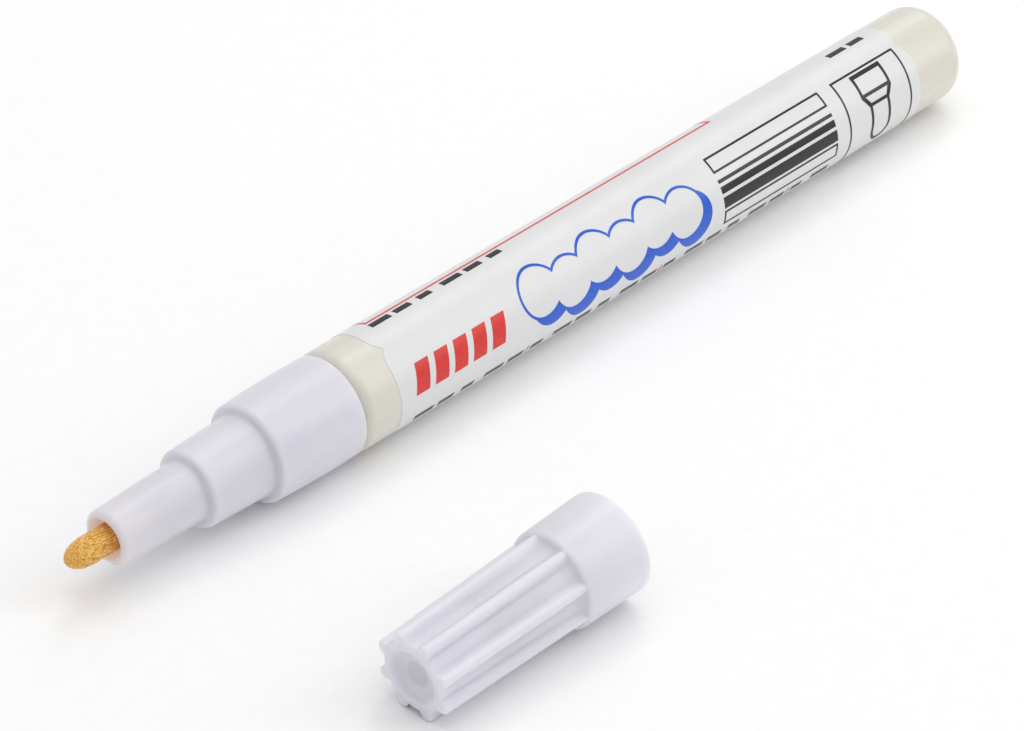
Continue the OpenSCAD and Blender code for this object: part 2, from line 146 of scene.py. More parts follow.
def finished(name, bm, crease):
    """Turns a bmesh into an object with smooth faces and sharp edges above the crease angle."""
    bmesh.ops.recalc_face_normals(bm, faces=bm.faces)
    mesh = bpy.data.meshes.new(name)
    bm.to_mesh(mesh)
    bm.free()
    mesh.shade_smooth()
    mesh.set_sharp_from_angle(angle=math.radians(crease))
    made = bpy.data.objects.new(name, mesh)
    bpy.context.scene.collection.objects.link(made)
    return made


def placed(obj, body, slot, *replaced):
    """Lets a piece ride on its body and stand for its CAD nodes."""
    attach(obj, body)
    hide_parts(*replaced)
    return obj


# Ivory lacquer, satin, sprayed and baked: a soft gloss with a faint orange peel a millimetre across, over the
# long drawing lines of the tube.
lacquer, tree, mm, shader = material("lacquer_baked_ivory")
peel_mm, line_len, line_gap = 1.1, 50, 0.6
peel = node(tree, "ShaderNodeTexNoise", {"Scale": 1 / peel_mm, "Detail": 3.0, "Roughness": 0.5},
            Vector=(mm, 0))
stretch = node(tree, "ShaderNodeMapping", {"Scale": (1 / line_len, 1 / line_gap, 1 / line_gap)},
               Vector=(mm, 0))
drawn = node(tree, "ShaderNodeTexNoise", {"Scale": 1.0, "Detail": 4.0}, Vector=(stretch, 0))
tone = ramp(tree, (drawn, "Fac"), [(0.3, "#d9d5ca"), (0.7, "#dedad0")])
rough = node(tree, "ShaderNodeMapRange", {"To Min": 0.30, "To Max": 0.40}, Value=(peel, "Fac"))
bump = node(tree, "ShaderNodeBump", {"Strength": 0.12, "Distance": 0.00003}, Height=(peel, "Fac"))
tree.links.new(tone.outputs["Color"], shader.inputs["Base Color"])
tree.links.new(rough.outputs["Result"], shader.inputs["Roughness"])
tree.links.new(bump.outputs["Normal"], shader.inputs["Normal"])
shader.inputs["Coat Weight"].default_value = 0.35
shader.inputs["Coat Roughness"].default_value = 0.25

barrel_r, wall, lip_r, lip_turn, tail_r, tail_wall = 5.95, 0.4, 1.5, 60, 2.2, 0.8
lip_c, tail_c = barrel_r - lip_r, barrel_r - tail_r
tail_in = math.degrees(math.asin((tail_r - tail_wall) / (tail_r - wall)))
barrel = turned("barrel_tube",
                [[barrel_len, 0.0]] + arc((barrel_len - tail_r, tail_c), tail_r, 0, 90, 20)
                + arc((lip_r, lip_c), lip_r, 90, 90 + lip_turn, 16)
                + arc((lip_r, lip_c), lip_r - wall, 90 + lip_turn, 90, 12)
                + arc((barrel_len - tail_r, tail_c), tail_r - wall, 90, 90 - tail_in, 10)
                + [[barrel_len - tail_wall, 0.0]])
placed(barrel, "pen", "barrel_lacquer", "barrel")
barrel.data.materials.append(lacquer)

# Mixing ball. A polished steel ball that lies loose in the paint and stirs it when the pen is shaken. It
# stays the CAD solid, inside the barrel.

# Ground steel: a near-mirror with fine haze from the polishing drum.
steel_ball, tree, mm, shader = material("steel_ball_drum_polished")
haze_mm = 0.33
haze = node(tree, "ShaderNodeTexNoise", {"Scale": 1 / haze_mm, "Detail": 4.0}, Vector=(mm, 0))
rough = node(tree, "ShaderNodeMapRange", {"To Min": 0.12, "To Max": 0.22}, Value=(haze, "Fac"))
shader.inputs["Base Color"].default_value = linear("#b5b8bc")
shader.inputs["Metallic"].default_value = 1.0
tree.links.new(rough.outputs["Result"], shader.inputs["Roughness"])


def dress(name, made):
    """Gives a carried-over CAD node its material."""
    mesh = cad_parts[name].data
    mesh.materials.clear()
    mesh.materials.append(made)


dress("mixing_ball", steel_ball)

# Label. A white polypropylene film, rounded at its corners, wrapped once round the barrel and lapped where
# its ends meet, a little in front of the top. Its cut edge shows as a thin line on the lacquer.

label_r = 6.0


def inside(loop):
    """Test whether a point lies in a closed outline."""
    def test(a, s):
        odd = False
        for (x0, y0), (x1, y1) in zip(loop, loop[1:] + loop[:1]):
            if (y0 > s) != (y1 > s) and a < x0 + (s - y0) * (x1 - x0) / (y1 - y0):
                odd = not odd
        return odd
    return test


def wrapped(name, loops, keep, outer, inner):
    """Thin shell on the barrel. Loops are closed outlines of [a mm, arc mm] points; keep(a, arc) is true
    where there is material; outer and inner are its radii in mm. Arc is measured at the label's radius."""
    facet, beyond, beside, same_point, crease = 2.5, 0.1, 1e-5, 1e-6, 40
    points, edges = [], []
    for loop in loops:
        base = len(points)
        points += [Vector(p) for p in loop]
        edges += [(base + i, base + (i + 1) % len(loop)) for i in range(len(loop))]

    # Lines along the pen, one facet of so many degrees apart, keep the flat faces narrow, so that the shell
    # is round. They lie a hair beside whole angles, where they miss the corners of the print.
    low_a, high_a = min(p.x for p in points) - beyond, max(p.x for p in points) + beyond
    low_s, high_s = min(p.y for p in points), max(p.y for p in points)
    pitch = label_r * math.radians(facet)
    for k in range(math.ceil(low_s / pitch), math.floor(high_s / pitch) + 1):
        edges.append((len(points), len(points) + 1))
        points += [Vector((low_a, k * pitch + beside)), Vector((high_a, k * pitch + beside))]
    verts, _, faces, _, _, _ = delaunay_2d_cdt(points, edges, [], 0, same_point)
    kept = []
    for face in faces:
        middle_a = sum(verts[i].x for i in face) / len(face)
        middle_s = sum(verts[i].y for i in face) / len(face)
        if keep(middle_a, middle_s):
            kept.append(face)
    bm = bmesh.new()
    used = sorted({i for face in kept for i in face})
    top = {i: bm.verts.new(on_pen(verts[i].x, outer, math.degrees(verts[i].y / label_r))) for i in used}
    low = {i: bm.verts.new(on_pen(verts[i].x, inner, math.degrees(verts[i].y / label_r))) for i in used}
    count = {}
    for face in kept:
        bm.faces.new([top[i] for i in face])
        bm.faces.new([low[i] for i in reversed(face)])
        for i, j in zip(face, face[1:] + face[:1]):
            count[frozenset((i, j))] = count.get(frozenset((i, j)), 0) + 1
    for face in kept:
        for i, j in zip(face, face[1:] + face[:1]):
            if count[frozenset((i, j))] == 1:
                bm.faces.new((top[j], top[i], low[i], low[j]))
    made = finished(name, bm, crease)

    # The round faces are shaded as the barrel's own round, and the cut edges as they lie.
    edge_on = 0.9
    normals = []
    for poly in made.data.polygons:
        middle = poly.center - Vector((poly.center.x, axis_y, axis_z))
        outward = abs(poly.normal.dot(middle.normalized()))
        for v in poly.vertices:
            co = made.data.vertices[v].co
            radial = Vector((0, co.y - axis_y, co.z - axis_z)).normalized()
            if outward > edge_on:
                normals.append(radial if poly.normal.dot(middle) > 0 else -radial)
            else:
                normals.append(poly.normal.copy())
    made.data.normals_split_custom_set(normals)
    return made


# White film, satin: a bright face and a soft gloss, with faint bands a few millimetres wide across the web
# and a fine tooth.
film, tree, mm, shader = material("polypropylene_film_satin_white")
band_mm, band_len, tooth_mm = 4, 16, 0.07
web = node(tree, "ShaderNodeMapping", {"Scale": (1 / band_mm, 1 / band_len, 1 / band_len)}, Vector=(mm, 0))
cloud = node(tree, "ShaderNodeTexNoise", {"Scale": 1.0, "Detail": 2.0}, Vector=(web, 0))
tone = ramp(tree, (cloud, "Fac"), [(0.3, "#dfdfe0"), (0.7, "#e2e2e3")])
fine = node(tree, "ShaderNodeTexNoise", {"Scale": 1 / tooth_mm, "Detail": 2.0}, Vector=(mm, 0))
rough = node(tree, "ShaderNodeMapRange", {"To Min": 0.38, "To Max": 0.46}, Value=(fine, "Fac"))
bump = node(tree, "ShaderNodeBump", {"Strength": 0.05, "Distance": 0.00001}, Height=(fine, "Fac"))
tree.links.new(tone.outputs["Color"], shader.inputs["Base Color"])
tree.links.new(rough.outputs["Result"], shader.inputs["Roughness"])
tree.links.new(bump.outputs["Normal"], shader.inputs["Normal"])
shader.inputs["Coat Weight"].default_value = 0.25
shader.inputs["Coat Roughness"].default_value = 0.3

label_start, label_end, seam, corner, lap, corner_steps = 5.1, 91.1, 23.0, 3.0, 1.6, 12
turn = 2 * math.pi * label_r
seam_s = label_r * math.radians(seam)
corner_left = corner - lap / 2


def label_end_points(a_end, inward):
    """Half of a rounded end of the film, from the lap, which takes some of the corner, to the flat edge."""
    points = []
    for i in range(corner_steps + 1):
        y = corner_left * i / corner_steps
        points.append((a_end + inward * (corner - math.sqrt(corner ** 2 - (corner_left - y) ** 2)), y))
    return points


front_end, rear_end = label_end_points(label_start, 1), label_end_points(label_end, -1)
outline = [(a, seam_s + y) for a, y in front_end] + [(a, seam_s + turn - y) for a, y in reversed(front_end)]
outline += [(a, seam_s + turn - y) for a, y in rear_end] + [(a, seam_s + y) for a, y in reversed(rear_end)]
label = wrapped("label_film", [outline], inside(outline), label_r, barrel_r)
placed(label, "pen", "label_film", "label")
label.data.materials.append(film)

# Red print. Generic artwork in red screen ink on the film: a row of slanted bars, a thin frame on the far
# side, and three short strokes among the lower dashes.

ink_t = 0.02


def ink(name, colour, deep):
    """Screen ink: a little glossier than the film, with a faint mottle, half a millimetre across, where it
    lies thicker."""
    made, tree, mm, shader = material(name)
    mottle_mm = 0.45
    mottle = node(tree, "ShaderNodeTexNoise", {"Scale": 1 / mottle_mm, "Detail": 3.0}, Vector=(mm, 0))
    tone = ramp(tree, (mottle, "Fac"), [(0.35, deep), (0.6, colour)])
    rough = node(tree, "ShaderNodeMapRange", {"To Min": 0.26, "To Max": 0.36}, Value=(mottle, "Fac"))
    tree.links.new(tone.outputs["Color"], shader.inputs["Base Color"])
    tree.links.new(rough.outputs["Result"], shader.inputs["Roughness"])
    return made


def rect(a0, a1, s0, s1):
    """Rectangle on the unrolled film."""
    return [(a0, s0), (a1, s0), (a1, s1), (a0, s1)]


def arc_mm(phi):
    """Arc length at the label's radius of an angle from the top."""
    return label_r * math.radians(phi)


def bent(points, phi, at):
    """Flat drawing, seen square on at angle phi, laid on the round film: X along the pen, Y round it."""
    return [(at + x, arc_mm(phi) + label_r * math.asin(max(-1.0, min(1.0, y / label_r)))) for x, y in points]


def printed(name, solids, holes=()):
    """Ink over the solid outlines, apart from the holes."""
    on, off = [inside(s) for s in solids], [inside(h) for h in holes]
    return wrapped(name, list(solids) + list(holes),
                   lambda a, s: any(t(a, s) for t in on) and not any(t(a, s) for t in off),
                   label_r + ink_t, label_r)


def frame_lines(a0, a1, phi0, phi1, w):
    """Outer and inner outline of a thin printed frame."""
    s0, s1 = arc_mm(phi0), arc_mm(phi1)
    return rect(a0, a1, s0, s1), rect(a0 + w, a1 - w, s0 + w, s1 - w)


bar = [(-1.0, 1.7), (1.0, 1.7), (1.9, -1.7), (-0.1, -1.7)]
bar_count, bar_start, bar_pitch, bar_half, bar_phi = 5, 7.3, 2.9, 1.0, 69
bars = [bent(bar, bar_phi, bar_start + i * bar_pitch + bar_half) for i in range(bar_count)]

line, dash_pitch = 0.26, 3.6
stroke_start, stroke_low, stroke_high = 6.9, 113, 125.6
strokes = []
for i in (5, 11, 17):
    a = stroke_start + i * dash_pitch
    strokes.append(rect(a, a + line, arc_mm(stroke_low), arc_mm(stroke_high)))

red_box, red_line = (7.7, 63.0, -130, -19), 0.36
red_outer, red_inner = frame_lines(*red_box, red_line)
red = printed("print_red_ink", bars + strokes + [red_outer], [red_inner])
placed(red, "pen", "ink_red", "print_red")
red.data.materials.append(ink("screen_ink_red", "#dd3129", "#d42b24"))

# Blue print. A row of round paint dabs, each drawn by a blue outline with a heavy drop shadow: screen ink
# on the film.

dab_r, dab_line, shadow = 3.1, 0.3, 1.0
dab_count, dab_pitch, dab_rise, dab_sides = 6, 4.6, 0.4, 72
dab_phi, dab_start = 60, 24.4


def dab_row(r, drop=0.0):
    """Round dabs, high and low in turn, in the flat drawing."""
    row = []
    for i in range(dab_count):
        x = dab_r + i * dab_pitch + drop
        y = (dab_rise if i % 2 else -dab_rise) + drop
        row.append([(x + r * math.cos(t), y + r * math.sin(t))
                    for t in (2 * math.pi * k / dab_sides for k in range(dab_sides))])
    return row


solids = [bent(d, dab_phi, dab_start) for d in dab_row(dab_r) + dab_row(dab_r, shadow)]
holes = [bent(d, dab_phi, dab_start) for d in dab_row(dab_r - dab_line)]
blue = printed("print_blue_ink", solids, holes)
placed(blue, "pen", "ink_blue", "print_blue")
blue.data.materials.append(ink("screen_ink_blue", "#0f5bd2", "#0b54c6"))

# Black print. Stroke samples of three widths between two thin frames, a framed line drawing of a bullet nib,
# and rows of dashes: screen ink on the film.

sample_start, sample_end, box_start, box_end = 56.6, 76.2, 78.4, 89.5
frames, frame_holes = [], []
for box in ((sample_start, sample_end, 24, 44), (sample_start, sample_end, 88, 106),
            (box_start, box_end, 24, 150)):
    outer, inner = frame_lines(*box, line)
    frames.append(outer)
    frame_holes.append(inner)
samples = [rect(sample_start, sample_end, arc_mm(phi), arc_mm(phi + span))
           for phi, span in ((52, 4), (60, 8), (72, 13))]

# The drawing is a cup, a cone below it and a tube with a round end, in one line width.
drawn_w, collar, tube, top, middle, waist, round_at, round_steps = 0.4, 2.6, 1.7, -4.1, -1.5, -0.2, 2.8, 24
cup_in, tube_in, cone_foot, cone_neck = collar - drawn_w, tube - drawn_w, 1.6 * drawn_w, 0.9 * drawn_w


def tube_end(r):
    """Round lower end of the drawn tube."""
    turns = [math.pi * k / round_steps for k in range(round_steps + 1)]
    return [(r * math.cos(t), round_at + r * math.sin(t)) for t in turns]


body = [(-collar, top), (collar, top), (collar, middle), (tube, waist)] + tube_end(tube)
body += [(-tube, waist), (-collar, middle)]
tube_hole = [(tube_in, waist)] + tube_end(tube_in) + [(-tube_in, waist)]
cup_hole = [(-cup_in, top + drawn_w), (cup_in, top + drawn_w), (cup_in, middle - drawn_w),
            (-cup_in, middle - drawn_w)]
cone_hole = [(-collar + cone_foot, middle), (collar - cone_foot, middle),
             (tube - cone_neck, waist - drawn_w), (-tube + cone_neck, waist - drawn_w)]
drawing_phi, drawing_at = 72, (box_start + box_end) / 2
drawing = [bent(body, drawing_phi, drawing_at)]
drawing_holes = [bent(x, drawing_phi, drawing_at) for x in (tube_hole, cup_hole, cone_hole)]

dash_len, dash_less, dash_h = 2.9, 0.5, 0.9
dashes = []
for start, end, phi in ((7.6, 29.6, -15), (7.6, 77.2, 115), (82.4, 89.8, -15)):
    for i in range(int((end - start) / dash_pitch)):
        a = start + i * dash_pitch
        dashes.append(rect(a, a + dash_len - dash_less * (i % 3), arc_mm(phi), arc_mm(phi) + dash_h))
in_frames = [(inside(outer), inside(inner)) for outer, inner in zip(frames, frame_holes)]
in_samples = [inside(x) for x in samples]
in_drawing = [inside(x) for x in drawing + dashes]
in_drawing_holes = [inside(x) for x in drawing_holes]


def black_keep(a, s):
    """Test for black ink: on a frame's line, a stroke sample, a dash or a line of the drawing."""
    framed = any(on(a, s) and not off(a, s) for on, off in in_frames)
    sampled = any(on(a, s) for on in in_samples)
    drawn = any(on(a, s) for on in in_drawing) and not any(off(a, s) for off in in_drawing_holes)
    return framed or sampled or drawn


black = wrapped("print_black_ink", frames + samples + frame_holes + drawing + drawing_holes + dashes,
                black_keep, label_r + ink_t, label_r)
placed(black, "pen", "ink_black", "print_black")
black.data.materials.append(ink("screen_ink_black", "#1e191c", "#191417"))

# Front section. One injection moulding in cloudy natural polypropylene: nose tube, neck and grip with soft
# rounded steps, and the plug that the barrel is rolled over. Light goes a millimetre or two into it.

# Natural polypropylene, moulded: lavender-white, lit from within, with a waxy skin and faint flow marks.
moulding, tree, mm, shader = material("polypropylene_moulded_cloudy")
mark_len, mark_gap, skin_mm = 20, 3, 0.17
flow = node(tree, "ShaderNodeMapping", {"Scale": (1 / mark_len, 1 / mark_gap, 1 / mark_gap)},
            Vector=(mm, 0))
mark = node(tree, "ShaderNodeTexNoise", {"Scale": 1.0, "Detail": 3.0}, Vector=(flow, 0))
tone = ramp(tree, (mark, "Fac"), [(0.3, "#d9d7e0"), (0.7, "#dedce5")])
skin = node(tree, "ShaderNodeTexNoise", {"Scale": 1 / skin_mm, "Detail": 3.0}, Vector=(mm, 0))
rough = node(tree, "ShaderNodeMapRange", {"To Min": 0.29, "To Max": 0.36}, Value=(skin, "Fac"))
bump = node(tree, "ShaderNodeBump", {"Strength": 0.06, "Distance": 0.00002}, Height=(skin, "Fac"))
tree.links.new(tone.outputs["Color"], shader.inputs["Base Color"])
tree.links.new(rough.outputs["Result"], shader.inputs["Roughness"])
tree.links.new(bump.outputs["Normal"], shader.inputs["Normal"])
shader.inputs["Subsurface Weight"].default_value = 0.8
shader.inputs["Subsurface Radius"].default_value = (1.0, 1.0, 1.05)
shader.inputs["Subsurface Scale"].default_value = 0.0024
shader.inputs["IOR"].default_value = 1.49

nose_front, neck_front, grip_front, grip_crown = -31.7, -20.2, -11.8, -4.8
nose_r, nose_root, neck_r, neck_root, grip_r, crown_r, grip_rear = 3.18, 3.46, 4.49, 4.74, 5.76, 5.97, 5.93
nose_round, step_round, root_round, rear_round = 0.7, 0.45, 0.55, 0.15
narrow_r, narrow_len, wide_r, mouth_r = 2.2, 4, 2.4, 2.36
chamber_r, chamber_front = 3.6, nose_front + 17.6
groove_r, groove_len, plug_r, plug_len, plug_edge = 5.0, 1.5, 5.55, 8.0, 0.5
section = turned("front_section_moulding",
                 [[nose_front + 14.6, wide_r], [nose_front + narrow_len + 1, wide_r],
                  [nose_front + narrow_len, narrow_r], [nose_front + 0.2, narrow_r],
                  [nose_front + 0.06, 2.25], [nose_front, mouth_r]]
                 + arc((nose_front + nose_round, nose_r - nose_round), nose_round, 180, 90, 12)
                 + arc((neck_front - root_round, nose_root + root_round), root_round, -90, 0, 8)
                 + arc((neck_front + step_round, neck_r - step_round), step_round, 180, 90, 10)
                 + arc((grip_front - root_round, neck_root + root_round), root_round, -90, 0, 8)
                 + arc((grip_front + step_round, grip_r - step_round), step_round, 180, 90, 10)
                 + [[-9.0, 5.86], [-7.0, 5.93], [grip_crown, crown_r], [-2.4, 5.96]]
                 + arc((-rear_round, grip_rear - rear_round), rear_round, 90, 0, 4)
                 + [[0, groove_r], [groove_len, groove_r], [groove_len + plug_r - groove_r, plug_r],
                    [plug_len - plug_edge, plug_r], [plug_len, plug_r - plug_edge],
                    [plug_len, chamber_r], [chamber_front, chamber_r], [chamber_front, wide_r]])

# Ribs on the bore's wall guide the nib. They are moulded with the section, sunk a little into its wall, and
# end just in front of the nib's rear end.
nib_r, nib_tip, nib_len = 1.55, -37.0, 20.4
guide_count, guide_phi, guide_w, guide_r, guide_root = 4, 45, 0.7, nib_r + 0.06, wide_r + 0.2
guide_front, guide_back = nose_front + narrow_len, nib_tip + nib_len - 0.5
corners = [(guide_r, -guide_w / 2), (guide_r, guide_w / 2),
           (guide_root, guide_w / 2), (guide_root, -guide_w / 2)]
bm = bmesh.new()
bm.from_mesh(section.data)
for i in range(guide_count):
    ends = []
    middle_phi = guide_phi + 360 * i / guide_count
    for a in (guide_front, guide_back):
        ends.append([bm.verts.new(on_pen(a, math.hypot(r, w), middle_phi + math.degrees(math.atan2(w, r))))
                     for r, w in corners])
    first, second = ends
    rib = [bm.faces.new(first), bm.faces.new(reversed(second))]
    rib += [bm.faces.new((first[k], second[k], second[(k + 1) % 4], first[(k + 1) % 4])) for k in range(4)]
    bmesh.ops.recalc_face_normals(bm, faces=rib)
bm.to_mesh(section.data)
bm.free()
placed(section, "pen", "moulded_pp", "front_section")

# The bore's thin wall has a painted glow that stands for the light coming through it, tinted peach as a
# painted reflection of the ochre nib, and a ring of painted highlight lies on its edge.
bore_pp, tree, mm, shader = material("polypropylene_bore_painted_glow")
glow_cloud_mm, highlight_cloud_mm = 0.9, 0.2
glow_cloud = node(tree, "ShaderNodeTexNoise", {"Scale": 1 / glow_cloud_mm, "Detail": 3.0}, Vector=(mm, 0))
tone = ramp(tree, (glow_cloud, "Fac"), [(0.3, "#f0e2dc"), (0.7, "#f6ece8")])
tree.links.new(tone.outputs["Color"], shader.inputs["Base Color"])
# Painted glow: the wall gives off its own light, and its peach tint is a painted reflection of the nib.
tree.links.new(tone.outputs["Color"], shader.inputs["Emission Color"])
shader.inputs["Emission Strength"].default_value = 0.24
shader.inputs["Roughness"].default_value = 0.4
# Painted highlight: a bright cream ring on the inner edge of the nose's mouth, where the edge catches the
# light.
rim_highlight, tree, mm, shader = material("painted_highlight_cream")
highlight_cloud = node(tree, "ShaderNodeTexNoise", {"Scale": 1 / highlight_cloud_mm, "Detail": 3.0}, Vector=(mm, 0))
tone = ramp(tree, (highlight_cloud, "Fac"), [(0.3, "#e9dcae"), (0.7, "#f4ecc8")])
tree.links.new(tone.outputs["Color"], shader.inputs["Base Color"])
shader.inputs["Roughness"].default_value = 0.5
for made in (moulding, bore_pp, rim_highlight):
    section.data.materials.append(made)
# Faces inside the front of the nose tube take the painted glow, and those on the mouth's inner edge take the
# painted highlight.
glow_r, ring_r, ring_len = 2.3, 2.34, 0.5
for face in section.data.polygons:
    out = math.hypot(face.center.y - axis_y, face.center.z - axis_z) * 1000
    if out < glow_r and face.center.x < mouth_x + (nose_front + narrow_len) / 1000:
        face.material_index = 1
    elif out < ring_r and face.center.x < mouth_x + (nose_front + ring_len) / 1000:
        face.material_index = 2

# Nib. A rod of bonded acrylic fibres ground to a bullet end. The fibres run along it, end on at the tip, and
# its binder dyes it ochre. It pushes straight back on the valve stem.

nib_taper, tip_steps, ring_gap = 2.8, 24, 0.35
profile = [[nib_tip, 0.0]]
for i in range(1, tip_steps + 1):
    t = math.radians(90 * i / tip_steps)
    profile.append([nib_tip + nib_taper * (1 - math.cos(t)), nib_r * math.sin(t)])
profile += [[nib_tip + nib_taper + ring_gap * i, nib_r] for i in range(1, 12)]
profile += [[nib_tip + nib_len, nib_r], [nib_tip + nib_len, 0.0]]
nib = turned("nib_fibre_rod", profile, sides=160, crease=50)

# The end that shows is uneven by a fiftieth of a millimetre, as ground felt is. The unevenness has so many
# waves in a metre along the nib and in a radian round it.
uneven_end, uneven_mm, waves_along, waves_round = -30.0, 0.022, 900, 9
for v in nib.data.vertices:
    out = Vector((0, v.co.y - axis_y, v.co.z - axis_z))
    if v.co.x < mouth_x + uneven_end / 1000 and out.length > 1e-6:
        phi = math.atan2(out.z, out.y)
        swell = noise.noise(Vector((v.co.x * waves_along, math.cos(phi) * waves_round,
                                    math.sin(phi) * waves_round)))
        v.co += out.normalized() * (uneven_mm / 1000) * swell
placed(nib, "plunger", "nib_fibre", "nib")

# Bonded fibre: golden ochre strands with paler and browner specks, and painted shade, darker in patches,
# towards and inside the nose's mouth, where the nib goes into it. Real fibres are 0.02 mm thick; they are
# drawn 0.08 mm thick, so that they show.
fibre, tree, mm, shader = material("acrylic_fibre_bonded_ochre")
fibre_mm, speck_len, patch_mm = 0.083, 0.53, 0.42
along = node(tree, "ShaderNodeMapping", {"Scale": (1 / speck_len, 1 / fibre_mm, 1 / fibre_mm)},
             Vector=(mm, 0))
strand = node(tree, "ShaderNodeTexNoise", {"Scale": 1.0, "Detail": 5.0, "Roughness": 0.62}, Vector=(along, 0))
tone = ramp(tree, (strand, "Fac"), [(0.32, "#8a4e0c"), (0.42, "#cc8420"), (0.50, "#e4a838"),
                                    (0.57, "#f0c463"), (0.66, "#fff2cc")])
# Painted shade: the fibre's colour is darkened in patches from 1.4 mm in front of the nose's mouth to 0.6 mm
# inside it.
reach = node(tree, "ShaderNodeSeparateXYZ", Vector=(mm, 0))
mouth_mm, shade_front, shade_back = mouth_x * 1000 + nose_front, 1.4, 0.6
mouth_shade = node(tree, "ShaderNodeMapRange", {"From Min": mouth_mm - shade_front, "From Max": mouth_mm + shade_back},
            Value=(reach, "X"))
patch = node(tree, "ShaderNodeTexNoise", {"Scale": 1 / patch_mm, "Detail": 3.0}, Vector=(mm, 0))
mouth_shade_patches = node(tree, "ShaderNodeMath", {"operation": "MULTIPLY"}, i0=(mouth_shade, "Result"), i1=(patch, "Fac"))
shaded_fibre = node(tree, "ShaderNodeMix", {"data_type": "RGBA", "blend_type": "MULTIPLY", 7: linear("#c0702a")},
             i0=(mouth_shade_patches, 0), i6=(tone, "Color"))
bump = node(tree, "ShaderNodeBump", {"Strength": 0.7, "Distance": 0.00006}, Height=(strand, "Fac"))
tree.links.new(shaded_fibre.outputs[2], shader.inputs["Base Color"])
tree.links.new(bump.outputs["Normal"], shader.inputs["Normal"])
shader.inputs["Roughness"].default_value = 0.8
shader.inputs["Sheen Weight"].default_value = 0.2
nib.data.materials.append(fibre)

# Valve. Hidden pieces, CAD solids but for the spring: the body is pressed into the section and stopped by its
# flange, the washer and the stem move with the nib in the pen, and the spring is wound from wire with a
# closed turn at each end. It sits between the stem's piston and the retainer; in the pen the nib's travel
# closes it up, but the coil here is built at rest only.

# Natural polypropylene, tool-polished: cream and waxy, with slight sink-mark unevenness.
valve_pp, tree, mm, shader = material("polypropylene_moulded_cream")
sink_mm = 1.25
sink = node(tree, "ShaderNodeTexNoise", {"Scale": 1 / sink_mm, "Detail": 2.0}, Vector=(mm, 0))
tone = ramp(tree, (sink, "Fac"), [(0.3, "#e6e3d8"), (0.7, "#eeece5")])
tree.links.new(tone.outputs["Color"], shader.inputs["Base Color"])
shader.inputs["Roughness"].default_value = 0.42
dress("valve_body", valve_pp)
dress("spring_retainer", valve_pp)

# Soft rubber, die-cut: dark and dull, with a fine grain.
rubber, tree, mm, shader = material("rubber_die_cut_dark")
grain_mm = 0.083
grain = node(tree, "ShaderNodeTexNoise", {"Scale": 1 / grain_mm, "Detail": 3.0}, Vector=(mm, 0))
tone = ramp(tree, (grain, "Fac"), [(0.3, "#343436"), (0.7, "#424244")])
bump = node(tree, "ShaderNodeBump", {"Strength": 0.2, "Distance": 0.00003}, Height=(grain, "Fac"))
tree.links.new(tone.outputs["Color"], shader.inputs["Base Color"])
tree.links.new(bump.outputs["Normal"], shader.inputs["Normal"])
shader.inputs["Roughness"].default_value = 0.85
dress("seat_washer", rubber)

# Acetal, moulded: a hard slippery blue-grey with a soft gloss.
acetal, tree, mm, shader = material("acetal_moulded_blue_grey")
flow_mm = 0.83
flow = node(tree, "ShaderNodeTexNoise", {"Scale": 1 / flow_mm, "Detail": 2.0}, Vector=(mm, 0))
tone = ramp(tree, (flow, "Fac"), [(0.3, "#b2bdc9"), (0.7, "#becad5")])
tree.links.new(tone.outputs["Color"], shader.inputs["Base Color"])
shader.inputs["Roughness"].default_value = 0.3
dress("valve_stem", acetal)

# Stainless spring wire, hard drawn: bright metal with fine die lines.
wire, tree, mm, shader = material("stainless_wire_hard_drawn")
die_mm = 0.125
lines = node(tree, "ShaderNodeTexNoise", {"Scale": 1 / die_mm, "Detail": 4.0}, Vector=(mm, 0))
rough = node(tree, "ShaderNodeMapRange", {"To Min": 0.2, "To Max": 0.36}, Value=(lines, "Fac"))
shader.inputs["Base Color"].default_value = linear("#c9ccd1")
shader.inputs["Metallic"].default_value = 1.0
tree.links.new(rough.outputs["Result"], shader.inputs["Roughness"])

spring_low, spring_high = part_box("valve_spring")
wire_d, spring_turns, per_turn, wire_sides, travel = 0.36, 8, 36, 12, 1.8
coil_r = (spring_high.z - spring_low.z) * 500 - wire_d / 2
coil_front = (spring_low.x - mouth_x) * 1000 + wire_d / 2
spring_len = (spring_high.x - spring_low.x) * 1000
rise, closed = spring_len - wire_d, 1 / spring_turns


def climbed(u):
    """How far the wire's middle has climbed at a share u of the coil. The first and last turns are closed."""
    if u < closed:
        return wire_d * u / closed
    if u > 1 - closed:
        return rise - wire_d * (1 - u) / closed
    return wire_d + (rise - 2 * wire_d) * (u - closed) / (1 - 2 * closed)


bm = bmesh.new()
turns = []
for k in range(spring_turns * per_turn + 1):
    middle = coil_front + climbed(k / (spring_turns * per_turn))
    skin = [math.radians(360 * n / wire_sides) for n in range(wire_sides)]
    turns.append([bm.verts.new(on_pen(middle + wire_d / 2 * math.sin(t), coil_r + wire_d / 2 * math.cos(t),
                                      180 + 360 * k / per_turn)) for t in skin])
for first, second in zip(turns, turns[1:]):
    for k in range(wire_sides):
        n = (k + 1) % wire_sides
        bm.faces.new((first[k], first[n], second[n], second[k]))
bm.faces.new(reversed(turns[0]))
bm.faces.new(turns[-1])
spring = placed(finished("valve_spring_coil", bm, 50), "pen", "spring_steel", "valve_spring")
spring.data.materials.append(wire)
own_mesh(spring)

# Cap. One moulding in the same cloudy polypropylene: a plain sleeve, a cove below it, eight grip ribs that
# stand out as knobs at the closed end, and a dished well there with a dimple where the gate was. It lies on
# the round at its sleeve's end and on its two lowest ribs.

